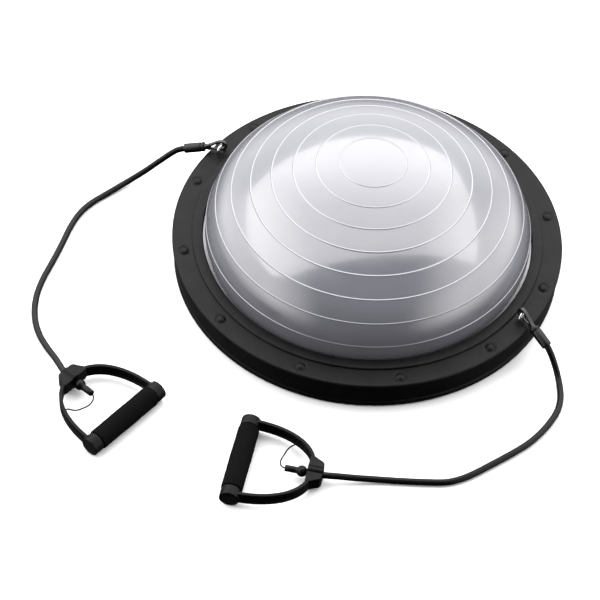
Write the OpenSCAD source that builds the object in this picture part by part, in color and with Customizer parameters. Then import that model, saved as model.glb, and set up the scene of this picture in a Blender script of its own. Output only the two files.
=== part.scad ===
// Balance dome trainer: an air-filled half dome held on a round base by a clamp ring,
// with two resistance cords that hook to chrome staples in the ring and end in D handles.
// Millimetres, +Z up. The origin is on the floor under the middle of the base,
// and +X runs through the right staple.

/* [Dome] */
// Height of the top of the dome above the floor
dome_top = 207.5; // [190:0.5:215]
// Radius of the large crown curve of the dome
crown_r = 333; // [325:1:345]
// Radius at which the crown curve turns into the shoulder
shoulder_r = 205; // [200:1:215]
// Largest radius of the dome
dome_r = 243; // [240:0.5:245]
// Thickness of the dome's skin
skin_t = 4; // [3:0.5:5]
// Distance along the skin between two grip ribs
rib_pitch = 34.4; // [30:0.1:40]

/* [Clamp ring] */
// Outer radius of the ring's flange
ring_r = 292; // [289:0.5:294]
// Height of the flange's top face
flange_z = 50; // [49:0.5:51]
// Thickness of the flange
flange_t = 4; // [3:0.5:5]
// Radius of the hole that the dome rises through
lip_in_r = 252; // [250:0.5:254]
// Outer radius of the raised lip beside the dome
lip_out_r = 262.5; // [260:0.5:264]
// Height of the lip above the flange
lip_h = 4; // [2:0.5:6]
// Radius of the circle that the buttons and screws stand on
button_pcr = 276; // [275:0.5:277]
// Number of buttons, each over a screw boss
button_n = 12; // [6:6:12]
// Radius of a button
button_r = 6.5; // [5:0.5:7]
// Height of a button
button_h = 3; // [2:0.5:4]

/* [Base pan] */
// Outer radius of the pan's rim
pan_r = 289.5; // [287:0.5:290]
// Height of the top of the pan's rim
pan_rim_z = 12; // [10:0.5:12]
// Thickness of the bottom plate
pan_t = 4; // [3:0.5:5]
// Number of ribs under the air chamber
rib_n = 12; // [6:6:12]
// Number of rubber feet
foot_n = 8; // [4:1:10]

/* [Staples and hooks] */
// Radius from the middle of the base to a staple
staple_pcr = 275; // [273:0.5:277]
// Radius of the chrome wire
wire_r = 2.5; // [2:0.1:2.5]
// Half the width of a staple between the middles of its legs
staple_half_w = 8; // [7.5:0.5:9]
// Height of the middle of the wire at the top of a staple
staple_top = 65; // [64:0.5:66]
// Thickness of a snap hook's body
hook_t = 5; // [4:0.5:5]
// Length of the black sleeve between hook and cord
sleeve_len = 32; // [30:1:36]
// Radius of the sleeve
sleeve_r = 7.5; // [6:0.5:8]

/* [Cords and handles] */
// Radius of a resistance cord
cord_r = 4.7; // [4:0.1:4.7]
// Radius of the foam grip
grip_r = 15.5; // [14.5:0.5:17]
// Length of the foam grip
grip_len = 109; // [100:1:110]
// Length of a handle over its two end cups
handle_len = 142; // [138:1:146]
// Half the width of the D frame at the middle of its band
frame_b = 64.5; // [63:0.5:66]
// Reach of the D frame from grip to the middle of its band
frame_a = 104; // [100:0.5:108]
// Height of the D frame's band
band_h = 20; // [16:1:20]
// Thickness of the D frame's band
band_t = 5; // [4:0.5:6]

/* [Hidden] */
$fn = 96;
play = 0.05;            // radial gap of a running fit
black = [0.12, 0.13, 0.14];
charcoal = [0.2, 0.21, 0.22];
silver = [0.75, 0.75, 0.78];
chrome = [0.9, 0.9, 0.92];

// Dome curves: the shoulder's small arc is tangent to the crown and upright at dome_r.
crown_z = dome_top - crown_r;
shoulder_a = acos(shoulder_r / crown_r);
turn_r = (dome_r - crown_r * cos(shoulder_a)) / (1 - cos(shoulder_a));
turn_z = crown_z + (crown_r - turn_r) * sin(shoulder_a);
first_rib = 49;         // from the top, along the skin
rib_rings = 7;
rib_r = 1.3;            // radius of a rib's round section
rib_sink = 0.5;         // depth of that section's middle below the skin
rib_a = acos(rib_sink / rib_r);
rib_foot = rib_r * sin(rib_a);
last_rib = 293;         // from the top, along the skin, low on the shoulder
rib_lines = concat([for (i = [0:rib_rings - 1]) first_rib + i * rib_pitch], [last_rib]);
shoulder_s = crown_r * (90 - shoulder_a) * PI / 180;
foot_s = shoulder_s + turn_r * shoulder_a * PI / 180;
chamber_z = 36;         // underside of the air chamber
floor_t = 2.5;
wall_r = dome_r - 0.5;  // foot of the dome's wall
bead_t = 4.5;           // clamped rim of the dome
bead_r = lip_out_r - 1;
flange_under = flange_z - flange_t;
bead_z = flange_under - bead_t;

// Ring and pan
edge_r = 2;             // rounding of the flange's outer edge
edge_z = 43;            // lower end of the flange's outer edge
skirt_r = 289.5;
skirt_t = 4;
skirt_z = 13;           // lower end of the ring's skirt
foot_h = 3;
foot_proud = 1.5;       // how far the feet stand out of the pan
foot_r = 15;
foot_pcr = 235;
port_r = 25;            // hole under the air plug
boss_r = 6;
boss_z = 14;
pilot_r = 1.85;
pilot_top = 38;
screw_r = 1.8;
screw_head_r = 4.2;
screw_head_h = 2.5;
screw_seat_z = 6;
screw_len = 30;

// Valve
valve_r = 14;
valve_bore_r = 4.05;
valve_neck_r = 8;
valve_z = 28;           // underside of the rubber seat
plug_r = 4;
plug_head_r = 10;
plug_head_h = 5;

// Staples: legs go through the flange to a washer and nut.
leg_end_z = 37;
washer_r = 5.5;
washer_t = 1.5;
nut_r = 4.6;
nut_h = 4.5;

// Snap hook, drawn from the middle of the staple's wire: x outward, y up
eye_in = 5.3;
eye_out = 9.2;
pivot = [21, -3];
pivot_pin_r = 1;
gate_t = 2;
gate_eye_r = 2.3;
gate_slot = 3.4;
shank_r = 2.6;
shank_x = 25;
shank_end = 37;
collar_r = 4.4;
sleeve_x = 27.5;
sleeve_end = sleeve_x + sleeve_len;
cord_start = sleeve_end - 17;
droop = 17;             // slope of hook and sleeve below level
right_yaw = -17;        // direction that each hook points in, about +Z
left_yaw = 208;

// Handles: x from the grip towards the hub, y along the grip
grip_z = grip_r;
right_pos = [88, -430];
right_turn = 24;
left_pos = [-85.7, -472.1];
left_turn = 175;
tube_r = 10.9;
tube_in = 8.5;
cup_r = 14.2;
cup_in = tube_r + play;
cup_len = 15.5;
cap_t = 3;
hub_x = 118;            // outer face of the hub
hub_in = 96;            // inner face of the hub
hub_bore = cord_r + 0.3;
ridge_r = 7;
ridge_half_h = 13;
ball_r = 6.2;
bulge_r = 8;
ball_x = hub_in - bulge_r;
channel_h = 12;         // shallow channels in the band's two sides
channel_d = 1.2;
channel_from = 16;
channel_to = 84;
tail_x = 64;            // open end of the cord's tail
tail_bore = 2.9;
tether_r = 0.9;
fullness = 0.89;        // below 1, the frame's shoulders are fuller than those of an ellipse
tether_hole_t = 48;     // place of the tether's hole along the frame, in degrees from its front

// Routes. Each list holds the points that a cord is laid through.
right_route = [
    [338, -19, 40], [348, -21, 25], [359, -27, 12], [372, -40, 6], [383, -56, 5],
    [391, -76, 5], [394, -98, 5], [394, -122, 5], [391, -147, 5], [385, -170, 5],
    [376, -196, 5], [366, -223, 5], [357, -246, 5], [347, -265, 5], [334, -281, 5],
    [313, -297, 5], [284, -317, 5], [256, -336, 6], [232, -354, 9], [213, -369, 13]
];
left_route = [
    [-337, -36, 42], [-351, -57, 28], [-364, -81, 15], [-375, -108, 8], [-385, -142, 5],
    [-392, -175, 5], [-392, -203, 5], [-385, -233, 5], [-374, -264, 5], [-363, -297, 5],
    [-352, -333, 5], [-340, -362, 5], [-325, -386, 5], [-306, -407, 5], [-284, -423.2, 5],
    [-258, -436, 7], [-234, -446.5, 11]
];
tether_route = [
    [72, 0, 0], [66, 0, 0], [60, 1.5, -1], [56, 7, -3], [55, 15, -4.5],
    [57, 24, -4.5], [60.5, 34.5, -3], [65, 39.9, -1], [69.2, 43, 0], [72.3, 48.5, 0]
];

// ---------- helpers ----------

// Points on an arc from angle a0 to a1, in n steps
function arc(c, r, a0, a1, n) =
    [for (i = [0:n]) c + r * [cos(a0 + (a1 - a0) * i / n), sin(a0 + (a1 - a0) * i / n)]];

// Point at t degrees on an ellipse with fuller shoulders
function on_ellipse(a, b, t) =
    [a * pow(cos(t), fullness), b * sign(t) * pow(abs(sin(t)), fullness)];

// Half of such an ellipse on the +x side
function half_ellipse(a, b, n = 36) = [for (i = [0:n]) on_ellipse(a, b, -90 + 180 * i / n)];

// A point on the smooth curve through p1 and p2, between its neighbours p0 and p3
function spline(p0, p1, p2, p3, t) =
    0.5 * (2 * p1 + t * (p2 - p0) + t * t * (2 * p0 - 5 * p1 + 4 * p2 - p3)
    + t * t * t * (3 * p1 - p0 - 3 * p2 + p3));

// The smooth curve through all points, with k steps from each point to the next
function smooth(p, k) = concat(
    [for (i = [0:len(p) - 2], j = [0:k - 1])
        spline(p[max(i - 1, 0)], p[i], p[i + 1], p[min(i + 2, len(p) - 1)], j / k)],
    [p[len(p) - 1]]);

function unit(v) = v / norm(v);

// Turns the ring's side direction so that it stays square to the path
function side_next(s, t) = unit(s - t * (s * t));

function path_dir(p, i) = unit(p[min(i + 1, len(p) - 1)] - p[max(i - 1, 0)]);

function sides(p, i, s) = i >= len(p) ? [] :
    let (n = side_next(s, path_dir(p, i))) concat([n], sides(p, i + 1, n));

// A round cord of radius r and m sides along the path p
module cord_along(p, r, m) {
    s = sides(p, 0, side_next([0.1, 0.2, 1], path_dir(p, 0)));
    n = len(p);
    points = [for (i = [0:n - 1], j = [0:m - 1])
        let (u = s[i], w = cross(path_dir(p, i), u), a = 360 * j / m)
        p[i] + r * (u * cos(a) + w * sin(a))];
    skin = [for (i = [0:n - 2], j = [0:m - 1])
        let (a = i * m + j, b = i * m + (j + 1) % m) [a, a + m, b + m, b]];
    first = [for (j = [0:m - 1]) j];
    last = [for (j = [0:m - 1]) (n - 1) * m + m - 1 - j];
    polyhedron(points, concat(skin, [first, last]));
}

// Copies its children round the base, the first at angle a0
module around(n, r, a0) {
    for (i = [0:n - 1])
        rotate([0, 0, a0 + 360 * i / n])
            translate([r, 0, 0])
                children();
}

// ---------- base ----------

module base_pan() {
    color(charcoal)
    difference() {
        union() {
            rotate_extrude() {
                translate([port_r, foot_proud]) square([pan_r - 2 - port_r, pan_t]);
                translate([279.5, foot_proud]) square([3.6, skirt_z - foot_proud]);
                translate([281, foot_proud]) square([pan_r - 1.5 - 281, pan_rim_z - foot_proud]);
                translate([281, foot_proud + 1.5]) square([pan_r - 281, pan_rim_z - foot_proud - 3]);
                translate([pan_r - 1.5, pan_rim_z - 1.5]) circle(r = 1.5);
                translate([pan_r - 1.5, foot_proud + 1.5]) circle(r = 1.5);
                translate([248, foot_proud]) square([4, bead_z - foot_proud]);
                translate([258, foot_proud]) square([4, bead_z - foot_proud]);
                translate([246, bead_z - 3.5]) square([17, 3.5]);
                translate([port_r, foot_proud]) square([4, chamber_z - foot_proud]);
            }
            around(rib_n, 0, 0)
                translate([port_r + 2, -2, foot_proud + 1])
                    cube([222, 4, chamber_z - foot_proud - 1]);
            around(button_n, button_pcr, 15)
                translate([0, 0, foot_proud])
                    cylinder(r = 8, h = skirt_z - foot_proud);
        }
        around(button_n, button_pcr, 15) {
            cylinder(r = screw_r + 0.4, h = 20);
            cylinder(r = screw_head_r + 0.4, h = screw_seat_z);
        }
        around(foot_n, foot_pcr, 22.5)
            cylinder(r = foot_r + 0.2, h = foot_h);
    }
}

module foot_pads() {
    color(black)
    around(foot_n, foot_pcr, 22.5)
        rotate_extrude() {
            square([foot_r - 0.8, foot_h]);
            translate([0, 0.8]) square([foot_r, foot_h - 0.8]);
            translate([foot_r - 0.8, 0.8]) circle(r = 0.8);
        }
}

module ring_section() {
    lip_round = 1.5;
    lip_top = flange_z + lip_h;
    // raised lip with rounded shoulders
    translate([lip_in_r, flange_under]) square([lip_out_r - lip_in_r, lip_top - lip_round - flange_under]);
    translate([lip_in_r + lip_round, flange_under])
        square([lip_out_r - lip_in_r - 2 * lip_round, lip_top - flange_under]);
    translate([lip_in_r + lip_round, lip_top - lip_round]) circle(r = lip_round);
    translate([lip_out_r - lip_round, lip_top - lip_round]) circle(r = lip_round);
    // flange and its rounded outer edge
    translate([lip_out_r - 1, flange_under]) square([ring_r - edge_r - lip_out_r + 1, flange_t]);
    translate([ring_r - edge_r, flange_z - edge_r]) circle(r = edge_r);
    translate([skirt_r - skirt_t, edge_z]) square([ring_r - skirt_r + skirt_t, flange_z - edge_r - edge_z]);
    // skirt down to the seam
    translate([skirt_r - skirt_t, skirt_z]) square([skirt_t, flange_z - edge_r - skirt_z]);
}

module clamp_ring() {
    cap_r = (button_r * button_r + button_h * button_h) / (2 * button_h);
    cap_a = asin(button_r / cap_r);
    color(charcoal)
    difference() {
        union() {
            rotate_extrude() ring_section();
            around(button_n, button_pcr, 15) {
                translate([0, 0, boss_z]) cylinder(r = boss_r, h = flange_z - boss_z - 1);
                translate([0, 0, flange_z])
                    rotate_extrude()
                        polygon(concat([[0, -1], [button_r, -1]],
                            arc([0, button_h - cap_r], cap_r, 90 - cap_a, 90, 6)));
            }
        }
        around(button_n, button_pcr, 15)
            cylinder(r = pilot_r, h = pilot_top);
        around(2, staple_pcr, 0)
            for (side = [-1, 1])
                translate([0, side * staple_half_w, flange_under - 1])
                    cylinder(r = wire_r + 0.1, h = flange_t + 2);
    }
}

module ring_screws() {
    color("dimgray")
    around(button_n, button_pcr, 15) {
        difference() {
            translate([0, 0, screw_seat_z - screw_head_h]) cylinder(r = screw_head_r, h = screw_head_h);
            translate([0, 0, screw_seat_z - screw_head_h - 1]) cylinder(r = 2, h = 2.4, $fn = 6);
        }
        translate([0, 0, screw_seat_z]) cylinder(r = screw_r, h = screw_len);
    }
}

// ---------- air chamber ----------

// Inside of the skin: crown, shoulder and wall, moved in by d
function dome_line(d) = concat(
    arc([0, crown_z], crown_r - d, 90, shoulder_a, 24),
    arc([(crown_r - turn_r) * cos(shoulder_a), turn_z], turn_r - d, shoulder_a, 0, 12),
    [[wall_r - d, flange_under]]);

// Direction that the skin faces, at distance s from the top along it
function facing(s) = s < shoulder_s ? 90 - s / crown_r * 180 / PI
    : shoulder_a - (s - shoulder_s) / turn_r * 180 / PI;

// Point of the skin there, moved out by d
function on_skin(s, d) = let (a = facing(s), way = [cos(a), sin(a)])
    s < shoulder_s ? [0, crown_z] + (crown_r + d) * way
    : [(crown_r - turn_r) * cos(shoulder_a), turn_z] + (turn_r + d) * way;

// Points between two distances along the skin, without the ends
function span(from, to, n) = [for (k = [1:n - 1]) on_skin(from + (to - from) * k / n, 0)];

// Round section of a rib at distance s along the skin
function rib(s) = arc(on_skin(s, -rib_sink), rib_r, facing(s) + rib_a, facing(s) - rib_a, 6);

// Outside of the skin, with a rib at each line
function dome_outside() = concat(
    [on_skin(0, 0)],
    span(0, first_rib - rib_foot, 4),
    [for (i = [0:rib_rings])
        let (next = i < rib_rings ? rib_lines[i + 1] - rib_foot : foot_s)
        each concat(rib(rib_lines[i]), span(rib_lines[i] + rib_foot, next, 4))],
    [[dome_r, turn_z], [wall_r, flange_under]]);

module dome_skin() {
    color(silver)
    rotate_extrude()
        difference() {
            polygon(concat(dome_outside(), [
                [bead_r, flange_under], [bead_r, bead_z], [wall_r, bead_z],
                [wall_r, chamber_z], [0, chamber_z]]));
            polygon(concat([[-1, dome_top - skin_t]], dome_line(skin_t),
                [[wall_r - skin_t, chamber_z - 1], [-1, chamber_z - 1]]));
        }
}

module bladder_floor() {
    color(silver)
    translate([0, 0, chamber_z])
        difference() {
            cylinder(r = wall_r - skin_t, h = floor_t);
            translate([0, 0, -1]) cylinder(r = valve_neck_r, h = floor_t + 2);
        }
}

module valve_seat() {
    color(black)
    difference() {
        union() {
            translate([0, 0, valve_z]) cylinder(r = valve_r, h = chamber_z - valve_z);
            translate([0, 0, chamber_z]) cylinder(r = valve_neck_r, h = floor_t);
            translate([0, 0, chamber_z + floor_t]) cylinder(r = valve_r, h = 2.5);
        }
        translate([0, 0, valve_z - 1]) cylinder(r = valve_bore_r, h = 20);
    }
}

module air_plug() {
    color(black) {
        translate([0, 0, valve_z - plug_head_h])
            rotate_extrude() {
                square([plug_head_r - 1, plug_head_h]);
                translate([0, 1]) square([plug_head_r, plug_head_h - 2]);
                translate([plug_head_r - 1, 1]) circle(r = 1);
                translate([plug_head_r - 1, plug_head_h - 1]) circle(r = 1);
            }
        translate([0, 0, valve_z]) cylinder(r = plug_r, h = 14);
    }
}

// ---------- staples ----------

module staple(turn) {
    arc_z = staple_top - staple_half_w;
    color(chrome)
    rotate([0, 0, turn])
        translate([staple_pcr, 0, 0]) {
            translate([0, 0, arc_z])
                rotate([90, 0, 90])
                    rotate_extrude(angle = 180)
                        translate([staple_half_w, 0]) circle(r = wire_r, $fn = 32);
            for (side = [-1, 1])
                translate([0, side * staple_half_w, leg_end_z])
                    cylinder(r = wire_r, h = arc_z - leg_end_z);
        }
}

module staple_right() { staple(0); }
module staple_left() { staple(180); }

module at_staple_legs() {
    around(2, staple_pcr, 0)
        for (side = [-1, 1])
            translate([0, side * staple_half_w, 0])
                children();
}

module staple_washers() {
    color(chrome)
    at_staple_legs()
        translate([0, 0, flange_under - washer_t])
            difference() {
                cylinder(r = washer_r, h = washer_t);
                translate([0, 0, -1]) cylinder(r = wire_r + 0.1, h = washer_t + 2);
            }
}

module staple_nuts() {
    color(chrome)
    at_staple_legs()
        translate([0, 0, flange_under - washer_t - nut_h])
            difference() {
                cylinder(r = nut_r, h = nut_h, $fn = 6);
                translate([0, 0, -1]) cylinder(r = wire_r + play, h = nut_h + 2);
            }
}

// ---------- snap hooks ----------

// Puts its children in a hook's own frame: origin in the staple's wire, +X along the hook
module at_hook(side, yaw) {
    translate([side * staple_pcr, 0, staple_top])
        rotate([0, 0, yaw])
            rotate([0, droop, 0])
                children();
}

// Stands a flat outline up on its edge, t thick
module plate(t) {
    rotate([90, 0, 0])
        translate([0, 0, -t / 2])
            linear_extrude(height = t)
                children();
}

module hook_outline() {
    difference() {
        circle(r = eye_out);
        circle(r = eye_in);
        translate([0, -eye_out - 1]) square([eye_out + 1, 2 * eye_out + 2]);
    }
    // upper arm and neck
    polygon([[-0.5, eye_out], [4, 8.9], [12, 6.4], [19, 4.3], [shank_x, 3.2], [shank_x, -3.2],
        [24, -4.6], [18.6, -4.6], [17.9, -1.2], [17, 0.8], [14, 2.4], [9, 4], [3, 5.1], [-0.5, eye_in]]);
    // tip below the staple
    polygon([[-0.5, -eye_in], [3, -5.5], [4.8, -5.9], [4.8, -8.2], [3, -8.9], [-0.5, -eye_out]]);
    translate(pivot) circle(r = 3.2);
}

module hook_body(side, yaw) {
    color(black)
    at_hook(side, yaw) {
        difference() {
            plate(hook_t) hook_outline();
            translate([13, -gate_slot / 2, -8]) cube([10.6, gate_slot, 8.4]);
            translate([pivot[0], 0, pivot[1]])
                rotate([90, 0, 0]) cylinder(r = pivot_pin_r, h = hook_t + 2, center = true);
        }
        rotate([0, 90, 0]) {
            translate([0, 0, shank_x - 0.5]) cylinder(r = collar_r, h = sleeve_x - shank_x + 0.5);
            translate([0, 0, shank_x]) cylinder(r = shank_r, h = shank_end - shank_x);
        }
    }
}

module gate(side, yaw) {
    color(black)
    at_hook(side, yaw)
        difference() {
            union() {
                plate(gate_t)
                    polygon([[21, -5.2], [8.5, -8.3], [5.8, -8.4], [5.2, -6], [12, -5], [20.5, -0.9]]);
                translate([pivot[0], 0, pivot[1]])
                    rotate([90, 0, 0]) cylinder(r = gate_eye_r, h = gate_t, center = true);
            }
            translate([pivot[0], 0, pivot[1]])
                rotate([90, 0, 0]) cylinder(r = pivot_pin_r + play, h = hook_t, center = true);
        }
}

module gate_pin(side, yaw) {
    color(chrome)
    at_hook(side, yaw)
        translate([pivot[0], 0, pivot[1]])
            rotate([90, 0, 0]) cylinder(r = pivot_pin_r, h = hook_t, center = true);
}

// Two turns of spring wire round the pin, beside the gate
module gate_spring(side, yaw) {
    turn_r = 1.4;
    spring_wire_r = 0.15;
    color(chrome)
    at_hook(side, yaw)
        for (i = [0, 1])
            translate([pivot[0], gate_t / 2 + 0.2 + i * 0.34, pivot[1]])
                rotate([90, 0, 0])
                    rotate_extrude($fn = 24)
                        translate([turn_r, 0]) circle(r = spring_wire_r, $fn = 16);
}

module sleeve(side, yaw) {
    color(black)
    at_hook(side, yaw)
        rotate([0, 90, 0])
            difference() {
                union() {
                    translate([0, 0, sleeve_x]) cylinder(r = sleeve_r, h = 3.5);
                    translate([0, 0, sleeve_x + 3]) cylinder(r = sleeve_r - 0.9, h = 2.5);
                    translate([0, 0, sleeve_x + 5]) cylinder(r = sleeve_r, h = sleeve_len - 5);
                }
                translate([0, 0, sleeve_x - 1]) cylinder(r = shank_r + play, h = shank_end - sleeve_x + 1.5);
                translate([0, 0, cord_start]) cylinder(r = cord_r + play, h = sleeve_len);
            }
}

module hook_right() { hook_body(1, right_yaw); }
module hook_left() { hook_body(-1, left_yaw); }
module gate_right() { gate(1, right_yaw); }
module gate_left() { gate(-1, left_yaw); }
module gate_pin_right() { gate_pin(1, right_yaw); }
module gate_pin_left() { gate_pin(-1, left_yaw); }
module gate_spring_right() { gate_spring(1, right_yaw); }
module gate_spring_left() { gate_spring(-1, left_yaw); }
module sleeve_right() { sleeve(1, right_yaw); }
module sleeve_left() { sleeve(-1, left_yaw); }

// ---------- cords ----------

// Point at distance d along a hook's axis
function on_hook(side, yaw, d) =
    [side * staple_pcr, 0, staple_top] + d * [cos(droop) * cos(yaw), cos(droop) * sin(yaw), -sin(droop)];

// Point of a handle's own frame in the part's frame
function on_handle(pos, turn, p) = [
    pos[0] + p[0] * cos(turn) - p[1] * sin(turn),
    pos[1] + p[0] * sin(turn) + p[1] * cos(turn),
    grip_z + p[2]];

// From inside the sleeve, through the sleeve's mouth, along the route and through the hub
function cord_path(side, yaw, route, pos, turn) = concat(
    [on_hook(side, yaw, cord_start), on_hook(side, yaw, (cord_start + sleeve_end) / 2)],
    smooth(concat(
        [on_hook(side, yaw, sleeve_end)], route,
        [on_handle(pos, turn, [hub_x, 0, 0])]), 3),
    [on_handle(pos, turn, [(hub_x + hub_in) / 2, 0, 0]), on_handle(pos, turn, [hub_in, 0, 0])]);

module cord_right() {
    color(black)
    cord_along(cord_path(1, right_yaw, right_route, right_pos, right_turn), cord_r, 10);
}

module cord_left() {
    color(black)
    cord_along(cord_path(-1, left_yaw, left_route, left_pos, left_turn), cord_r, 10);
}

// ---------- handles ----------

// Puts its children in a handle's own frame
module at_handle(pos, turn) {
    translate([pos[0], pos[1], grip_z])
        rotate([0, 0, turn])
            children();
}

// Turns a shape made along +Z so that it lies along the grip
module along_grip() {
    rotate([-90, 0, 0]) children();
}

module hub_outline() {
    polygon([[hub_in, -21], [hub_in, 21], [103, 22], [112, 17], [112, -17], [103, -22]]);
    translate([111, -10]) circle(r = 7);
    translate([111, 10]) circle(r = 7);
    translate([104, -10]) square([14, 20]);
}

module frame_band(a, b) {
    difference() {
        polygon(half_ellipse(a + band_t / 2, b + band_t / 2));
        polygon(half_ellipse(a - band_t / 2, b - band_t / 2));
        translate([-10, -100]) square([18, 200]);
    }
}

// The band between its two channels, with the space inside the D left open
module band_core() {
    web = band_t / 2 - channel_d;
    difference() {
        polygon(half_ellipse(frame_a + web, frame_b + web));
        polygon(half_ellipse(frame_a - web, frame_b - web));
    }
}

module handle_frame(pos, turn) {
    hole = on_ellipse(frame_a, frame_b, tether_hole_t);
    along = on_ellipse(frame_a, frame_b, tether_hole_t + 1)
        - on_ellipse(frame_a, frame_b, tether_hole_t - 1);
    hole_dir = atan2(-along[0], along[1]);
    color(black)
    at_handle(pos, turn)
        difference() {
            union() {
                translate([0, 0, -band_h / 2]) linear_extrude(height = band_h) frame_band(frame_a, frame_b);
                translate([0, 0, -10.5]) linear_extrude(height = 21) hub_outline();
                for (z = [-1, 1])
                    translate([hub_in, 0, z * (ridge_half_h - ridge_r)])
                        rotate([0, 90, 0]) cylinder(r = ridge_r, h = hub_x - hub_in);
                for (s = [-1, 1])
                    translate([0, s * handle_len / 2, 0])
                        mirror([0, s > 0 ? 1 : 0, 0])
                            along_grip() cylinder(r = cup_r, h = cup_len);
            }
            // shallow channels along both sides of the band
            translate([0, 0, -channel_h / 2])
                linear_extrude(height = channel_h)
                    difference() {
                        polygon(half_ellipse(frame_a + 9, frame_b + 9));
                        band_core();
                        translate([-10, -100]) square([channel_from + 10, 200]);
                        translate([channel_to, -60]) square([40, 120]);
                    }
            translate([0, -handle_len, 0]) along_grip() cylinder(r = cup_in, h = 2 * handle_len);
            translate([hub_in - 1, 0, 0]) rotate([0, 90, 0]) cylinder(r = hub_bore, h = 30);
            translate([hole[0], hole[1], 0])
                rotate([0, 90, hole_dir]) cylinder(r = tether_r + 0.6, h = 20, center = true);
        }
}

module end_caps(pos, turn) {
    color(black)
    at_handle(pos, turn)
        for (s = [-1, 1])
            translate([0, s * (handle_len / 2 - 0.5 - cap_t / 2), 0])
                along_grip() cylinder(r = cup_in, h = cap_t, center = true);
}

module grip_tube(pos, turn) {
    tube_len = handle_len - 2 * (0.5 + cap_t) - 1;
    color("gray")
    at_handle(pos, turn)
        along_grip()
            difference() {
                cylinder(r = tube_r, h = tube_len, center = true);
                cylinder(r = tube_in, h = tube_len + 2, center = true);
            }
}

module grip_foam(pos, turn) {
    corner = 1.5;
    color(black)
    at_handle(pos, turn)
        along_grip()
            rotate_extrude() {
                translate([tube_r, -grip_len / 2]) square([grip_r - corner - tube_r, grip_len]);
                translate([tube_r, corner - grip_len / 2]) square([grip_r - tube_r, grip_len - 2 * corner]);
                for (s = [-1, 1])
                    translate([grip_r - corner, s * (grip_len / 2 - corner)]) circle(r = corner);
            }
}

module stopper(pos, turn) {
    color("dimgray")
    at_handle(pos, turn)
        translate([ball_x, 0, 0]) sphere(r = ball_r);
}

// End of the cord: it swells over the stopper ball and runs on to an open end
module cord_tail(pos, turn) {
    hollow_r = ball_r + play;
    bulge_a = asin(cord_r / bulge_r);
    hollow_a = asin(tail_bore / hollow_r);
    color(black)
    at_handle(pos, turn)
        rotate([0, 90, 0])
            rotate_extrude()
                polygon(concat([[tail_bore, tail_x], [cord_r, tail_x]],
                    arc([0, ball_x], bulge_r, bulge_a - 90, 90 - bulge_a, 16),
                    [[cord_r, hub_in], [0, hub_in]],
                    arc([0, ball_x], hollow_r, 90, hollow_a - 90, 16)));
}

// Thin safety cord from inside the tail to a hole in the frame
module tether(pos, turn) {
    color(black)
    cord_along([for (p = smooth(tether_route, 2)) on_handle(pos, turn, p)], tether_r, 8);
}

module frame_right() { handle_frame(right_pos, right_turn); }
module frame_left() { handle_frame(left_pos, left_turn); }
module end_caps_right() { end_caps(right_pos, right_turn); }
module end_caps_left() { end_caps(left_pos, left_turn); }
module grip_tube_right() { grip_tube(right_pos, right_turn); }
module grip_tube_left() { grip_tube(left_pos, left_turn); }
module grip_foam_right() { grip_foam(right_pos, right_turn); }
module grip_foam_left() { grip_foam(left_pos, left_turn); }
module stopper_right() { stopper(right_pos, right_turn); }
module stopper_left() { stopper(left_pos, left_turn); }
module cord_tail_right() { cord_tail(right_pos, right_turn); }
module cord_tail_left() { cord_tail(left_pos, left_turn); }
module tether_right() { tether(right_pos, right_turn); }
module tether_left() { tether(left_pos, left_turn); }

base_pan();
foot_pads();
clamp_ring();
ring_screws();
dome_skin();
bladder_floor();
valve_seat();
air_plug();
staple_right();
staple_left();
staple_washers();
staple_nuts();
hook_right();
gate_right();
gate_pin_right();
gate_spring_right();
sleeve_right();
cord_right();
stopper_right();
cord_tail_right();
tether_right();
frame_right();
end_caps_right();
grip_tube_right();
grip_foam_right();
hook_left();
gate_left();
gate_pin_left();
gate_spring_left();
sleeve_left();
cord_left();
stopper_left();
cord_tail_left();
tether_left();
frame_left();
end_caps_left();
grip_tube_left();
grip_foam_left();
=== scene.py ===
"""Looks of the balance dome trainer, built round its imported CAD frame.

Metres in the row frame: +Z up, +X through the right staple. Profiles and local
frames are in millimetres, as in the part's source, and go through a place matrix.
"""

import math

import bmesh
import bpy
import numpy as np
from mathutils import Matrix, Vector


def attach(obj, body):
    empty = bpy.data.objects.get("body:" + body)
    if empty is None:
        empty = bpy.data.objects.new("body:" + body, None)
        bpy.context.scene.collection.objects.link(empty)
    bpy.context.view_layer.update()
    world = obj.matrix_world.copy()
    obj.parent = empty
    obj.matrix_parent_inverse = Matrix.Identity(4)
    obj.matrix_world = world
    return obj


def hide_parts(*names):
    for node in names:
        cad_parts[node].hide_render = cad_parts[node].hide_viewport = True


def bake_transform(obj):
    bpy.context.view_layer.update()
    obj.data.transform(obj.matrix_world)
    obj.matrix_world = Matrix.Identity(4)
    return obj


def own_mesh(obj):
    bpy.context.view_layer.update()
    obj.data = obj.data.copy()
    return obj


MM = 0.001
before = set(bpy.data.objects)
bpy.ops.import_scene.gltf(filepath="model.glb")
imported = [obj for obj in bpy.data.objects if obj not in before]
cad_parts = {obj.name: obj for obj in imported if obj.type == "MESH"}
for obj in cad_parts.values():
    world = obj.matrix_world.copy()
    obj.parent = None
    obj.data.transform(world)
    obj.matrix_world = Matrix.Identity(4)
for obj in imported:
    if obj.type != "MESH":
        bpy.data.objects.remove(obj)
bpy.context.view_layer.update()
scene = bpy.context.scene

# ---------- sizes from the part's source, in mm ----------

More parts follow.
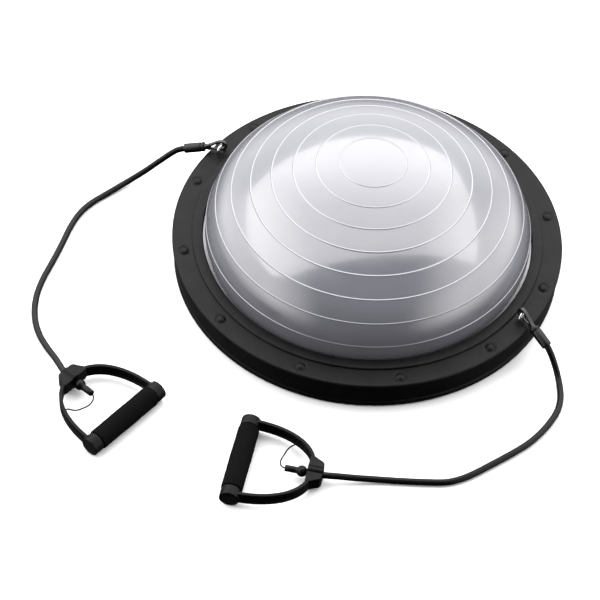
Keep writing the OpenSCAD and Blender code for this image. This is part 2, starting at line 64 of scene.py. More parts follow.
DOME_TOP, CROWN_R, SHOULDER_R, DOME_R = 207.5, 333.0, 205.0, 243.0
SKIN_T = 4.0
FIRST_RIB, RIB_PITCH, RIB_RINGS, LAST_RIB = 49.0, 34.4, 7, 293.0
RIB_H, RIB_HALF = 0.8, 1.25
BUTTON_PCR, BUTTON_N, BUTTON_R, BUTTON_H = 276.0, 12, 6.5, 3.0
STAPLE_PCR, STAPLE_HALF_W, STAPLE_TOP, WIRE_R, LEG_END = 275.0, 8.0, 65.0, 2.5, 37.0
DROOP = 17.0
SLEEVE_X, SLEEVE_LEN, SLEEVE_R, CORD_START = 27.5, 32.0, 7.5, 42.5
SLEEVE_END = SLEEVE_X + SLEEVE_LEN
CORD_R = 4.7
GRIP_Z, GRIP_R, GRIP_LEN, TUBE_R = 15.5, 15.5, 109.0, 10.9
HUB_X, HUB_IN, BALL_X, BULGE_R, BALL_R = 118.0, 96.0, 88.0, 8.0, 6.2
TAIL_X, TAIL_BORE, TETHER_R = 64.0, 2.9, 1.1

SIDES = {
    "right": {"sign": 1, "yaw": -17.0, "pos": (88.0, -430.0), "turn": 24.0},
    "left": {"sign": -1, "yaw": 208.0, "pos": (-85.7, -472.1), "turn": 175.0},
}
SIDES["right"]["route"] = [
    (338, -19, 40), (348, -21, 25), (359, -27, 12), (372, -40, 6), (383, -56, 5),
    (391, -76, 5), (394, -98, 5), (394, -122, 5), (391, -147, 5), (385, -170, 5),
    (376, -196, 5), (366, -223, 5), (357, -246, 5), (347, -265, 5), (334, -281, 5),
    (313, -297, 5), (284, -317, 5), (256, -336, 6), (232, -354, 9), (213, -369, 13),
]
SIDES["left"]["route"] = [
    (-337, -36, 42), (-351, -57, 28), (-364, -81, 15), (-375, -108, 8), (-385, -142, 5),
    (-392, -175, 5), (-392, -203, 5), (-385, -233, 5), (-374, -264, 5), (-363, -297, 5),
    (-352, -333, 5), (-340, -362, 5), (-325, -386, 5), (-306, -407, 5), (-284, -423.2, 5),
    (-258, -436, 7), (-234, -446.5, 11),
]
TETHER_ROUTE = [
    (72, 0, 0), (66, 0, 0), (60, 1.5, -1), (56, 7, -3), (55, 15, -4.5),
    (57, 24, -4.5), (60.5, 34.5, -3), (65, 39.9, -1), (69.2, 43, 0), (72.3, 48.5, 0),
]

# ---------- places ----------


def turned(axis, degrees):
    return Matrix.Rotation(math.radians(degrees), 4, axis)


def hook_place(side):
    """A hook's own frame: origin in the staple's wire, +X along the hook."""
    start = Matrix.Translation((side["sign"] * STAPLE_PCR * MM, 0, STAPLE_TOP * MM))
    return start @ turned("Z", side["yaw"]) @ turned("Y", DROOP)


def handle_place(side):
    """A handle's own frame: +X from the grip to the hub, +Y along the grip."""
    x, y = side["pos"]
    return Matrix.Translation((x * MM, y * MM, GRIP_Z * MM)) @ turned("Z", side["turn"])


ALONG_X = turned("Y", 90)
ALONG_Y = turned("X", -90)


def placed(place, points):
    """Points in mm of a local frame, as metres in the row frame."""
    points = np.asarray(points, float).reshape(-1, 3) * MM
    matrix = np.array(place)
    return points @ matrix[:3, :3].T + matrix[:3, 3]


# ---------- camera ----------

STUDIO_TURN = turned("Z", 34)  # the object stands turned 34 degrees to the camera
PITCH, ROLL = math.radians(49.477), math.radians(2.945)
STAND = (-0.09486, -2.4135, 2.71178)  # where the camera stands, in the studio's frame
SENSOR, LENS = 36, 144
HALF_PIXEL = 0.5 / 600


def make_camera():
    right, up = Vector((1, 0, 0)), Vector((0, math.sin(PITCH), math.cos(PITCH)))
    forward = Vector((0, math.cos(PITCH), -math.sin(PITCH)))
    across = math.cos(ROLL) * right + math.sin(ROLL) * up
    above = math.cos(ROLL) * up - math.sin(ROLL) * right
    turn = Matrix((across, above, -forward)).transposed().to_4x4()
    camera = bpy.data.objects.new("camera", bpy.data.cameras.new("camera"))
    camera.data.sensor_width = SENSOR
    camera.data.lens = LENS
    camera.data.shift_x, camera.data.shift_y = -HALF_PIXEL, HALF_PIXEL
    camera.data.clip_end = 100
    camera.matrix_world = STUDIO_TURN @ Matrix.Translation(STAND) @ turn
    scene.collection.objects.link(camera)
    scene.camera = camera


make_camera()

# ---------- materials ----------


def node(tree, kind, inputs=None, **settings):
    """Adds a shader node. An input is a value, or the socket that feeds it."""
    made = tree.nodes.new("ShaderNode" + kind)
    for key, value in settings.items():
        setattr(made, key, value)
    for key, value in (inputs or {}).items():
        if isinstance(value, bpy.types.NodeSocket):
            tree.links.new(value, made.inputs[key])
        else:
            made.inputs[key].default_value = value
    return made


def math_node(tree, operation, a, b=0.0):
    return node(tree, "Math", {0: a, 1: b}, operation=operation).outputs[0]


def mixed(tree, share, a, b):
    made = node(tree, "Mix", {0: share, 6: a, 7: b}, data_type="RGBA")
    return made.outputs[2]


def ranged(tree, value, low, high, to_low, to_high):
    inputs = {"Value": value, "From Min": low, "From Max": high, "To Min": to_low, "To Max": to_high}
    return node(tree, "MapRange", inputs).outputs[0]


def noise(tree, where, scale, detail=4.0, rough=0.55):
    inputs = {"Vector": where, "Scale": scale, "Detail": detail, "Roughness": rough}
    return node(tree, "TexNoise", inputs).outputs[0]


def bumped(tree, height, distance, strength=1.0, under=None):
    inputs = {"Height": height, "Distance": distance, "Strength": strength}
    if under is not None:
        inputs["Normal"] = under
    return node(tree, "Bump", inputs).outputs[0]


def start_material(name):
    made = bpy.data.materials.new(name)
    made.use_nodes = True
    tree = made.node_tree
    where = node(tree, "TexCoord").outputs["Object"]
    return made, tree, tree.nodes["Principled BSDF"], where


def feed(tree, shader, **inputs):
    """Sets or joins the shader's inputs. An underscore stands for a space."""
    for key, value in inputs.items():
        socket = shader.inputs[key.replace("_", " ")]
        if isinstance(value, bpy.types.NodeSocket):
            tree.links.new(value, socket)
        else:
            socket.default_value = value


def grey(level, blue=1.06):
    return (level, level * (1 + (blue - 1) * 0.45), level * blue, 1)


def moulded(name, dark, light, rough, grain_scale, grain, specular=0.5, edge=0.35):
    """Moulded black plastic or rubber: cloudy colour, fine grain, paler worn edges."""
    made, tree, shader, where = start_material(name)
    cloud = noise(tree, where, 35)
    fine = noise(tree, where, grain_scale, 3)
    worn = ranged(tree, node(tree, "NewGeometry").outputs["Pointiness"], 0.52, 0.6, 0, edge)
    colour = mixed(tree, ranged(tree, cloud, 0.35, 0.65, 0, 1), grey(dark), grey(light))
    colour = mixed(tree, math_node(tree, "MULTIPLY", worn, fine), colour, grey(light * 3 + 0.02))
    roughness = ranged(tree, noise(tree, where, 140), 0.3, 0.7, rough - 0.05, rough + 0.06)
    feed(tree, shader, Base_Color=colour, Roughness=roughness, Specular_IOR_Level=specular)
    feed(tree, shader, Normal=bumped(tree, fine, grain))
    return made


def dome_material():
    """Pearly grey PVC: glossy skin, cloudy inside, with a painted highlight along the ribs."""
    made, tree, shader, where = start_material("dome_vinyl")
    cloud = noise(tree, where, 9, 3)
    rib = node(tree, "Attribute", attribute_name="rib").outputs["Fac"]
    colour = mixed(tree, ranged(tree, cloud, 0.3, 0.7, 0, 1), (0.13, 0.13, 0.149, 1), (0.148, 0.148, 0.17, 1))
    # painted highlight: paler colour along each rib, where the rib catches the light
    colour = mixed(tree, math_node(tree, "MULTIPLY", rib, 0.6), colour, (0.34, 0.34, 0.37, 1))
    pearl = noise(tree, where, 2600, 2)
    roughness = ranged(tree, noise(tree, where, 60), 0.3, 0.7, 0.17, 0.22)
    wave = noise(tree, where, 14, 2)
    normal = bumped(tree, wave, 0.0006, 0.5)
    feed(tree, shader, Base_Color=colour, Roughness=roughness, IOR=1.55, Specular_IOR_Level=0.85)
    feed(tree, shader, Normal=bumped(tree, pearl, 0.00002, 0.4, normal))
    feed(tree, shader, Coat_Weight=0.7, Coat_Roughness=0.08)
    feed(tree, shader, Subsurface_Weight=0.1, Subsurface_Scale=0.01, Subsurface_Radius=(0.8, 0.8, 1.0))
    return made


def foam_material():
    """Closed-cell foam: matt, nearly black, with small open cells and a soft sheen."""
    made, tree, shader, where = start_material("grip_foam")
    cells = node(tree, "TexVoronoi", {"Vector": where, "Scale": 900}).outputs["Distance"]
    lumps = noise(tree, where, 260, 4)
    colour = mixed(tree, ranged(tree, noise(tree, where, 120), 0.35, 0.65, 0, 1), grey(0.0008), grey(0.0016))
    colour = mixed(tree, ranged(tree, cells, 0.45, 0.8, 0, 0.7), colour, grey(0.004))
    normal = bumped(tree, lumps, 0.0004, 0.7)
    feed(tree, shader, Base_Color=colour, Roughness=0.8, Specular_IOR_Level=0.05)
    feed(tree, shader, Sheen_Weight=0.004, Sheen_Roughness=0.4)
    feed(tree, shader, Normal=bumped(tree, cells, 0.00025, 0.8, normal))
    return made


def metal(name, level, rough, scratch, metallic=1.0):
    """Plated or bare steel, with faint smears and hairlines."""
    made, tree, shader, where = start_material(name)
    stretched = node(tree, "Mapping", {"Vector": where, "Scale": (60, 60, 900)}).outputs[0]
    lines = noise(tree, stretched, 4, 4)
    smear = noise(tree, where, 70)
    colour = mixed(tree, ranged(tree, smear, 0.3, 0.7, 0, 1), grey(level, 1.01), grey(level * 0.9, 1.02))
    feed(tree, shader, Base_Color=colour, Metallic=metallic)
    feed(tree, shader, Roughness=ranged(tree, lines, 0.3, 0.7, rough, rough + 0.08))
    feed(tree, shader, Normal=bumped(tree, lines, scratch, 0.3))
    return made


def latex_material():
    """Black latex tube: glossy, with faint length lines and dust."""
    made, tree, shader, where = start_material("cord_latex")
    dust = noise(tree, where, 420, 5, 0.7)
    cloud = noise(tree, where, 40)
    colour = mixed(tree, ranged(tree, cloud, 0.3, 0.7, 0, 1), grey(0.0015), grey(0.003))
    colour = mixed(tree, ranged(tree, dust, 0.62, 0.8, 0, 0.5), colour, grey(0.008))
    feed(tree, shader, Base_Color=colour, Specular_IOR_Level=0.16)
    feed(tree, shader, Roughness=ranged(tree, dust, 0.4, 0.7, 0.26, 0.42))
    feed(tree, shader, Normal=bumped(tree, cloud, 0.0004, 0.5))
    return made


def braid_material():
    """Thin braided line: two sets of crossing strands."""
    made, tree, shader, where = start_material("tether_braid")
    inputs = {"Vector": where, "Scale": 900, "Distortion": 1.0}
    waves = [node(tree, "TexWave", inputs, bands_direction=way).outputs[1] for way in ("DIAGONAL", "X")]
    strands = math_node(tree, "MULTIPLY", *waves)
    colour = mixed(tree, strands, grey(0.001), grey(0.004))
    feed(tree, shader, Base_Color=colour, Roughness=0.7, Specular_IOR_Level=0.15)
    feed(tree, shader, Normal=bumped(tree, strands, 0.0002, 0.7))
    return made


DOME = dome_material()
SHELL = moulded("shell_black", 0.0025, 0.0045, 0.45, 1500, 0.00006, specular=0.12, edge=0.12)
NYLON = moulded("handle_nylon", 0.0012, 0.003, 0.34, 1300, 0.00005, specular=0.1)
HOOK_BLACK = moulded("hook_black", 0.004, 0.008, 0.28, 900, 0.00005, edge=0.5)
SLEEVE_BLACK = moulded("sleeve_black", 0.0015, 0.003, 0.3, 1100, 0.00004, specular=0.3)
RUBBER = moulded("rubber_black", 0.009, 0.014, 0.7, 1200, 0.00012, specular=0.3)
TUBE_GREY = moulded("tube_grey", 0.10, 0.12, 0.5, 900, 0.00005)
FOAM = foam_material()
LATEX = latex_material()
BRAID = braid_material()
CHROME = metal("chrome", 0.82, 0.06, 0.00002)
ZINC = metal("zinc_steel", 0.5, 0.32, 0.00004)

# ---------- shapes ----------


def piece_of(name, points, faces, material, sharp=35):
    """A smooth-shaded mesh piece, with its normals outward and its hard edges kept."""
    mesh = bpy.data.meshes.new(name)
    mesh.from_pydata([tuple(p) for p in points], [], faces)
    shell = bmesh.new()
    shell.from_mesh(mesh)
    bmesh.ops.recalc_face_normals(shell, faces=shell.faces)
    shell.to_mesh(mesh)
    shell.free()
    mesh.materials.append(material)
    mesh.shade_smooth()
    mesh.set_sharp_from_angle(angle=math.radians(sharp))
    piece = bpy.data.objects.new(name, mesh)
    scene.collection.objects.link(piece)
    return piece


def finished(piece, body, slot, *nodes):
    """Puts a piece on its body, in place of its CAD nodes."""
    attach(piece, body)
    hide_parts(*nodes)
    return piece


def arc(centre, radius, start, end, steps):
    """Points on an arc, from one angle to another in degrees, both included."""
    angles = np.radians(np.linspace(start, end, steps + 1))
    return [(centre[0] + radius * math.cos(a), centre[1] + radius * math.sin(a)) for a in angles]


def rounded(corners, steps=5):
    """The closed outline through corners (x, y, radius), each rounded to its radius."""
    out = []
    for i, (x, y, radius) in enumerate(corners):
        here = np.array((x, y), float)
        if radius <= 0:
            out.append((x, y))
            continue
        back = np.array(corners[i - 1][:2], float) - here
        on = np.array(corners[(i + 1) % len(corners)][:2], float) - here
        back, on = back / np.linalg.norm(back), on / np.linalg.norm(on)
        half = math.acos(max(-1.0, min(1.0, float(back @ on)))) / 2
        middle = here + (back + on) / np.linalg.norm(back + on) * radius / math.sin(half)
        first = here + back * radius / math.tan(half) - middle
        last = here + on * radius / math.tan(half) - middle
        sweep = math.pi - 2 * half
        for k in range(steps + 1):
            t = k / steps
            turn = math.sin((1 - t) * sweep) * first + math.sin(t * sweep) * last
            out.append(tuple(middle + turn / math.sin(sweep)))
    return out


def lathe(name, profile, material, place=None, segments=96, angles=None, sharp=35):
    """Turns a closed profile of (radius, height) round Z. A point on the axis is a pole."""
    if angles is None:
        angles = np.linspace(0, 2 * math.pi, segments, endpoint=False)
    count, points, rings = len(angles), [], []
    cosines, sines = np.cos(angles), np.sin(angles)
    for r, z in profile:
        first = len(points)
        if r < 1e-6:
            points.append((0, 0, z))
            rings.append([first])
        else:
            points.extend(zip(r * cosines, r * sines, [z] * count))
            rings.append(list(range(first, first + count)))
    faces = []
    for low, high in zip(rings, rings[1:] + rings[:1]):
        for k in range(count):
            j = (k + 1) % count
            corners = (low[k % len(low)], low[j % len(low)], high[j % len(high)], high[k % len(high)])
            face = list(dict.fromkeys(corners))
            if len(face) > 2:
                faces.append(face)
    where = placed(place or Matrix.Identity(4), points)
    return piece_of(name, where, faces, material, sharp)


def smooth_path(points, steps):
    """The smooth curve through all points, with that many steps between two."""
    p = np.asarray(points, float)
    out = []
    for i in range(len(p) - 1):
        before, a, b, after = p[max(i - 1, 0)], p[i], p[i + 1], p[min(i + 2, len(p) - 1)]
        for k in range(steps):
            t = k / steps
            out.append(0.5 * (
                2 * a + t * (b - before) + t * t * (2 * before - 5 * a + 4 * b - after)
                + t ** 3 * (3 * a - before - 3 * b + after)
            ))
    out.append(p[-1])
    return np.array(out)


def tube(name, path, radius, material, sides=20, sharp=50):
    """A round tube with closed ends along a path in metres. The radius may be one per point."""
    path = np.asarray(path, float)
    count = len(path)
    radius = np.broadcast_to(np.asarray(radius, float), (count,))
    ways = np.gradient(path, axis=0)
    ways /= np.linalg.norm(ways, axis=1)[:, None]
    side = np.cross(ways[0], (0.1, 0.2, 1.0))
    around = 2 * math.pi * np.arange(sides) / sides
    points = []
    for at, way, r in zip(path, ways, radius):
        side = side - way * (side @ way)
        side /= np.linalg.norm(side)
        other = np.cross(way, side)
        points.extend(at + r * (math.cos(a) * side + math.sin(a) * other) for a in around)
    faces = [
        (i * sides + j, i * sides + (j + 1) % sides, (i + 1) * sides + (j + 1) % sides, (i + 1) * sides + j)
        for i in range(count - 1)
        for j in range(sides)
    ]
    faces.append(tuple(range(sides)))
    faces.append(tuple(range((count - 1) * sides, count * sides)))
    return piece_of(name, points, faces, material, sharp)


def softened(name, cad_node, material, voxel, passes):
    """A CAD node's shape with its hard edges eased, as a moulded or tumbled part has them."""
    piece = bpy.data.objects.new(name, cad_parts[cad_node].data.copy())
    scene.collection.objects.link(piece)
    shell = bmesh.new()
    shell.from_mesh(piece.data)
    bmesh.ops.remove_doubles(shell, verts=shell.verts, dist=2e-6)
    shell.to_mesh(piece.data)
    shell.free()
    remesh = piece.modifiers.new("remesh", "REMESH")
    remesh.mode = "VOXEL"
    remesh.voxel_size = voxel * MM
    ease = piece.modifiers.new("ease", "SMOOTH")
    ease.factor = 0.5
    ease.iterations = passes
    eased = bpy.data.meshes.new_from_object(piece.evaluated_get(bpy.context.evaluated_depsgraph_get()))
    piece.modifiers.clear()
    piece.data = eased
    eased.materials.clear()
    eased.materials.append(material)
    eased.shade_smooth()
    return piece


# ---------- cords ----------


LYING_Z, LYING_STEPS = 5.1, 14  # the cord lies on the floor below this, and its tubes meet that many steps on


def cord_path(side):
    """From inside the sleeve, through its mouth, along the route and through the hub."""
    on_hook = placed(hook_place(side), [(x, 0, 0) for x in (CORD_START, (CORD_START + SLEEVE_END) / 2)])
    mouth = placed(hook_place(side), [(SLEEVE_END, 0, 0)])
    in_hub = placed(handle_place(side), [(x, 0, 0) for x in (HUB_X, (HUB_X + HUB_IN) / 2, HUB_IN)])
    route = np.array(side["route"], float) * MM
    middle = smooth_path(np.vstack([mouth, route, in_hub[:1]]), 5)
    return np.vstack([on_hook, middle, in_hub[1:]])


def make_cord(name, side):
    """Two tubes that meet on the floor: one runs from the hook's sleeve, the other into the handle's hub."""
    path = cord_path(side)
    lying = int(np.argmax(path[:, 2] < LYING_Z * MM)) + LYING_STEPS
    near, far = path[: lying + 1], path[lying:]
    hook_end = tube(f"cord_{name}_hook_end", near, CORD_R * MM, LATEX)
    handle_end = tube(f"cord_{name}_handle_end", far, CORD_R * MM, LATEX)
    mouth = placed(hook_place(side), [(SLEEVE_END, 0, 0)])[0]
    hub = placed(handle_place(side), [(HUB_X, 0, 0)])[0]
    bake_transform(hook_end)
    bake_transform(handle_end)
    for piece, route, exit_point in ((hook_end, near, mouth), (handle_end, far, hub)):
        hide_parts(f"cord_{name}")


def make_tether(name, side):
    path = placed(handle_place(side), smooth_path(TETHER_ROUTE, 5))
    piece = tube(f"tether_line_{name}", path, TETHER_R * MM, BRAID, sides=12)
    finished(piece, f"handle_{name}", "braid", f"tether_{name}")


for side_name, side_sizes in SIDES.items():
    make_cord(side_name, side_sizes)
    make_tether(side_name, side_sizes)

# ---------- dome ----------


BEAD_R, BEAD_TOP, BEAD_BOTTOM, HEM_Z, ANCHOR_Z, PRESS = 261.5, 46.0, 41.5, 36.0, 50.0, 60.0
SHOULDER_A = math.acos(SHOULDER_R / CROWN_R)
TURN_R = (DOME_R - SHOULDER_R) / (1 - SHOULDER_R / CROWN_R)
TURN_Z = DOME_TOP - CROWN_R + (CROWN_R - TURN_R) * math.sin(SHOULDER_A)
SHOULDER_S = CROWN_R * (math.pi / 2 - SHOULDER_A)
FOOT_S = SHOULDER_S + TURN_R * SHOULDER_A


def on_skin(s, d):
    """The point of the skin at distance s from the top along it, moved out by d."""
    if s < SHOULDER_S:
        a = math.pi / 2 - s / CROWN_R
        return (CROWN_R + d) * math.cos(a), DOME_TOP - CROWN_R + (CROWN_R + d) * math.sin(a)
    a = SHOULDER_A - (s - SHOULDER_S) / TURN_R
    centre_r = (CROWN_R - TURN_R) * math.cos(SHOULDER_A)
    return centre_r + (TURN_R + d) * math.cos(a), TURN_Z + (TURN_R + d) * math.sin(a)


def dome_profile():
    """Outside from the top down with its ribs, then the clamped rim and back up the inside.
    Each point comes with its share of rib, 0 to 1: it raises the rib and sets the painted highlight along it."""
    ribs = np.append(FIRST_RIB + RIB_PITCH * np.arange(RIB_RINGS), LAST_RIB)
    wide = [s for s in np.arange(0, FOOT_S - 1, 4.0) if np.abs(ribs - s).min() > 3.2]
    fine = [r + d for r in ribs for d in np.arange(-3, 3.01, 0.3)]
    outline, share = [], []
    for s in sorted(wide + fine) + [FOOT_S]:
        level = math.exp(-((np.abs(ribs - s).min() / (0.6 * RIB_HALF)) ** 2))
        outline.append(on_skin(s, RIB_H * level))
        share.append(level)
    foot = DOME_R - 0.5
    rim = [(foot, BEAD_TOP), (BEAD_R, BEAD_TOP), (BEAD_R, BEAD_BOTTOM), (foot, BEAD_BOTTOM), (foot, HEM_Z)]
    rim += [(foot - SKIN_T, HEM_Z), (foot - SKIN_T, ANCHOR_Z)]
    inner = [on_skin(s, -SKIN_T) for s in np.linspace(FOOT_S, 0, 40)]
    outline += rim + inner
    share += [0] * (len(rim) + len(inner))
    return outline, share


def make_dome():
    outline, share = dome_profile()
    segments = 384
    piece = lathe("dome_shell", outline, DOME, segments=segments, sharp=60)
    values = []
    for (r, _), level in zip(outline, share):
        values.extend([level] * (1 if r < 1e-6 else segments))
    # the rib share also feeds the dome's painted highlight along the ribs
    rib = piece.data.attributes.new("rib", "FLOAT", "POINT")
    rib.data.foreach_set("value", np.array(values, np.float32))
    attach(piece, "root")
    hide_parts("dome_skin")
    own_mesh(piece)


make_dome()

# ---------- clamp ring ----------


def ring_angles():
    """Close together at the buttons and staples, and wide apart between them."""
    angles = set()
    centres = [15 + 30 * k for k in range(BUTTON_N)] + [0, 180]
    half = [1.9] * BUTTON_N + [3.4] * 2
    for centre, reach in zip(centres, half):
        angles |= {round((centre + d) % 360, 3) for d in np.arange(-reach, reach + 0.01, 0.14)}
    for a in np.arange(0, 360, 1.2):
        gaps = [abs((a - c + 180) % 360 - 180) - h for c, h in zip(centres, half)]
        if min(gaps) > 0.4:
            angles.add(round(float(a), 3))
    return np.radians(sorted(angles))


def flange_lift(x, y):
    """How far a point of the flange's top is raised: a button in its ring, and a dip at each staple leg."""
    r, a = math.hypot(x, y), math.degrees(math.atan2(y, x))
    lift = 0.0
    nearest = math.radians(15 + 30 * round((a - 15) / 30))
    d = math.hypot(x - BUTTON_PCR * math.cos(nearest), y - BUTTON_PCR * math.sin(nearest))
    if d < BUTTON_R:
        lift += BUTTON_H * 0.9 * (1 - (d / BUTTON_R) ** 2) ** 0.7
    lift -= 0.9 * math.exp(-((d - BUTTON_R - 1.2) / 1.0) ** 2)
    leg = math.hypot(abs(x) - STAPLE_PCR, abs(y) - STAPLE_HALF_W)
    lift -= 1.2 * math.exp(-((leg / 4.2) ** 4))
    return lift * min(1.0, max(0.0, (r - 263.6) / 1.5)) * min(1.0, max(0.0, (289.3 - r) / 1.5))


def make_ring():
    corners = [
        (285.5, 13, 0), (285.5, 46.2, 0), (246, 46.2, 0.8), (246, 54, 1.7), (262.5, 54, 1.7),
        (262.5, 50, 0.9),
        (292, 50, 2.4), (292, 43, 0.7), (289.5, 42.2, 0.4), (289.5, 13, 0.6),
    ]
    outline = rounded(corners)
    profile = []
    for here, on in zip(outline, outline[1:] + outline[:1]):
        profile.append(here)
        if abs(here[1] - 50) < 1e-6 and abs(on[1] - 50) < 1e-6 and on[0] - here[0] > 10:
            profile += [(r, 50.0) for r in np.linspace(here[0], on[0], 34)[1:-1]]
    piece = lathe("ring_moulding", profile, SHELL, angles=ring_angles(), sharp=50)
    for vertex in piece.data.vertices:
        x, y, z = vertex.co / MM
        if z > 49.99 and z < 50.01:
            vertex.co.z = (z + flange_lift(x, y)) * MM
    finished(piece, "root", "shell_black", "clamp_ring")


make_ring()

# ---------- staples, hooks and sleeves ----------


def make_staple(name, sign):
    arc_z = STAPLE_TOP - STAPLE_HALF_W
    legs = [LEG_END + 0.8, 42.0, 46.5, 50.0, 54.0]
    bend = arc((0, arc_z), STAPLE_HALF_W, 0, 180, 24)
    line = [(STAPLE_HALF_W, z) for z in legs] + bend + [(-STAPLE_HALF_W, z) for z in reversed(legs)]
    line = [(STAPLE_HALF_W, LEG_END)] + line + [(-STAPLE_HALF_W, LEG_END)]
    radius = np.full(len(line), WIRE_R * MM)
    radius[[0, -1]] *= 0.72
    path = np.array([(sign * STAPLE_PCR, y, z) for y, z in line]) * MM
    finished(tube(f"staple_wire_{name}", path, radius, CHROME, sides=28), "root", "chrome", f"staple_{name}")


def make_sleeve(name, side):
    bore, end = 2.65, SLEEVE_END
    corners = [
        (SLEEVE_R, SLEEVE_X, 0.9), (SLEEVE_R, 31, 0.5), (5.5, 31.6, 0.3), (5.5, 32.6, 0.3),
        (SLEEVE_R, 33.2, 0.5),
        (SLEEVE_R, end, 0.8), (CORD_R + 0.25, end, 0.4), (CORD_R + 0.1, CORD_START, 0), (bore, CORD_START, 0),
        (bore, SLEEVE_X, 0),
    ]
    piece = lathe(f"sleeve_tube_{name}", rounded(corners), SLEEVE_BLACK, hook_place(side) @ ALONG_X, 64)
    finished(piece, f"hook_{name}", "sleeve_black", f"sleeve_{name}")


for side_name, side_sizes in SIDES.items():
    make_staple(side_name, side_sizes["sign"])
    make_sleeve(side_name, side_sizes)
    hook = softened(f"hook_forging_{side_name}", f"hook_{side_name}", HOOK_BLACK, 0.22, 6)
    finished(hook, f"hook_{side_name}", "hook_black", f"hook_{side_name}")
    gate = softened(f"gate_lever_{side_name}", f"gate_{side_name}", HOOK_BLACK, 0.14, 4)
    finished(gate, f"gate_{side_name}", "hook_black", f"gate_{side_name}")

# ---------- handles ----------


def make_grip(name, side):
    """Foam tube: a little fuller in the middle, lightly dented by use, soft at its ends."""
    half, inner = GRIP_LEN / 2, TUBE_R
    outer = rounded([(inner, -half, 0.6), (GRIP_R, -half, 2.6), (GRIP_R, half, 2.6), (inner, half, 0.6)], 6)
    profile = []
    for here, on in zip(outer, outer[1:] + outer[:1]):
        profile.append(here)
        if abs(here[0] - GRIP_R) < 1e-6 and abs(on[0] - GRIP_R) < 1e-6:
            profile += [(GRIP_R, z) for z in np.linspace(here[1], on[1], 44)[1:-1]]
    piece = lathe(f"grip_sleeve_{name}", profile, FOAM, segments=88, sharp=70)
    for vertex in piece.data.vertices:
        x, y, z = vertex.co / MM
        if math.hypot(x, y) > inner + 1:
            dents = 0.10 * math.sin(0.11 * z + 1.3) + 0.07 * math.sin(0.31 * z + 2.0 * math.atan2(y, x))
            swell = 1 + (dents - 0.12 - 0.25 * (z / half) ** 2) / GRIP_R
            vertex.co.x *= swell
            vertex.co.y *= swell
    piece.data.transform(handle_place(side) @ ALONG_Y)
    finished(piece, f"grip_{name}", "foam", f"grip_foam_{name}")


def make_tail(name, side):
    """End of the cord, swollen over its stopper ball, with an open end."""
    hollow = BALL_R + 0.05
    bulge, bore = math.degrees(math.asin(CORD_R / BULGE_R)), math.degrees(math.asin(TAIL_BORE / hollow))
    outline = [(TAIL_BORE + 0.1, TAIL_X), (CORD_R - 0.4, TAIL_X), (CORD_R, TAIL_X + 0.5)]
    outline += [(CORD_R, 72), (CORD_R, 79)]
    outline += arc((0, BALL_X), BULGE_R, bulge - 90, 90 - bulge, 20) + [(CORD_R, HUB_IN), (0, HUB_IN)]
    outline += [(0, BALL_X + hollow)] + arc((0, BALL_X), hollow, 88, bore - 90, 12)
    piece = lathe(f"cord_bulb_{name}", outline, LATEX, handle_place(side) @ ALONG_X, 48, sharp=60)
    finished(piece, f"handle_{name}", "latex", f"cord_tail_{name}")


for side_name, side_sizes in SIDES.items():
    make_grip(side_name, side_sizes)
    make_tail(side_name, side_sizes)
    d_frame = softened(f"handle_frame_{side_name}", f"frame_{side_name}", NYLON, 0.6, 5)
    finished(d_frame, f"handle_{side_name}", "handle_nylon", f"frame_{side_name}")

# ---------- CAD nodes that stay ----------

KEPT = {
    SHELL: ["base_pan"],
    RUBBER: ["foot_pads", "valve_seat", "air_plug"],
    DOME: ["bladder_floor"],
    ZINC: ["ring_screws", "staple_washers", "staple_nuts"],
}
for side_name in SIDES:
    KEPT[ZINC] += [f"gate_pin_{side_name}", f"gate_spring_{side_name}"]
    KEPT.setdefault(TUBE_GREY, []).extend([f"stopper_{side_name}", f"grip_tube_{side_name}"])
    KEPT.setdefault(NYLON, []).append(f"end_caps_{side_name}")
for material, names in KEPT.items():
    for cad_name in names:
        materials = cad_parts[cad_name].data.materials
        materials.clear()
        materials.append(material)

# ---------- studio ----------


def make_floor():
    size = 9.0
    corners = [(-size, -size, 0), (size, -size, 0), (size, size, 0), (-size, size, 0)]
    floor = piece_of("floor", [(x, y, -0.0003) for x, y, _ in corners], [(0, 1, 2, 3)], floor_material())
    floor.visible_glossy = False
    floor.visible_diffuse = False


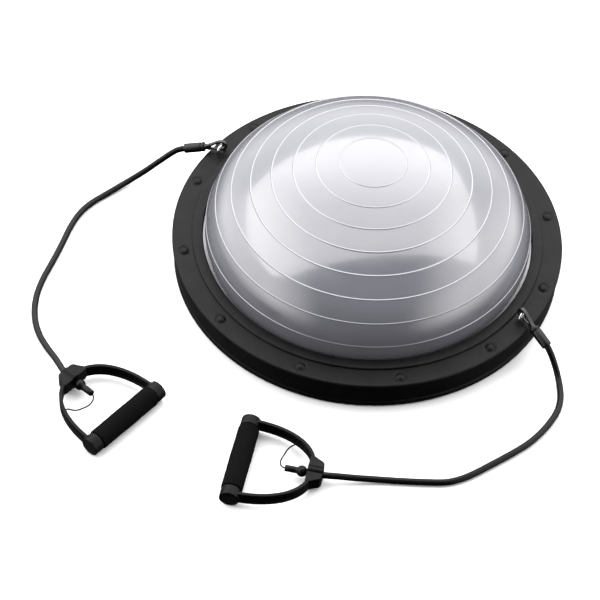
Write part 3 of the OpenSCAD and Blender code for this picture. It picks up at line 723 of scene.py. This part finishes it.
def floor_material():
    made, tree, shader, where = start_material("floor_white")
    cloud = noise(tree, where, 1.5, 2)
    colour = mixed(tree, cloud, (0.95, 0.95, 0.95, 1), (0.98, 0.98, 0.98, 1))
    feed(tree, shader, Base_Color=colour, Roughness=0.9, Specular_IOR_Level=0.0)
    return made


def overhead(at, turn, size, power):
    """A wide soft light that faces down, placed in the studio's frame, where the camera looks along +Y."""
    light = bpy.data.lights.new("overhead", "AREA")
    light.shape = "RECTANGLE"
    light.size, light.size_y = size
    light.energy = power
    made = bpy.data.objects.new("overhead", light)
    made.matrix_world = STUDIO_TURN @ Matrix.Translation(at) @ turned("Z", turn)
    scene.collection.objects.link(made)


def make_world():
    """Soft surround: bright behind and at the sides, dark on the camera's side, white to the camera."""
    world = bpy.data.worlds.new("studio")
    world.use_nodes = True
    tree = world.node_tree
    back = STUDIO_TURN.to_3x3() @ Vector((0, 1, 0))
    across = STUDIO_TURN.to_3x3() @ Vector((1, 0, 0))
    way = node(tree, "TexCoord").outputs["Generated"]
    rear = node(tree, "VectorMath", {0: way, 1: tuple(back)}, operation="DOT_PRODUCT").outputs["Value"]
    beside = node(tree, "VectorMath", {0: way, 1: tuple(across)}, operation="DOT_PRODUCT").outputs["Value"]
    behind = ranged(tree, rear, 0.25, 0.7, FRONT_LEVEL, REAR_LEVEL)
    aside = ranged(tree, math_node(tree, "ABSOLUTE", beside), 0.45, 0.85, FRONT_LEVEL, SIDE_LEVEL)
    height = node(tree, "SeparateXYZ", {0: way}).outputs["Z"]
    above = ranged(tree, height, -0.3, 0.05, 0.1, 1)
    level = math_node(tree, "MULTIPLY", math_node(tree, "MAXIMUM", behind, aside), above)
    seen = node(tree, "LightPath").outputs["Is Camera Ray"]
    background = tree.nodes["Background"]
    background.inputs["Color"].default_value = (1, 1, 1, 1)
    strength = math_node(tree, "MULTIPLY", level, math_node(tree, "SUBTRACT", 1.0, seen))
    tree.links.new(math_node(tree, "ADD", strength, seen), background.inputs["Strength"])
    scene.world = world


FRONT_LEVEL, REAR_LEVEL, SIDE_LEVEL = 0.02, 1.8, 3.0
make_floor()
make_world()
overhead((-0.45, 1.4, 2.0), 10.8, (6.0, 4.1), 248)
scene.view_settings.view_transform = "Standard"
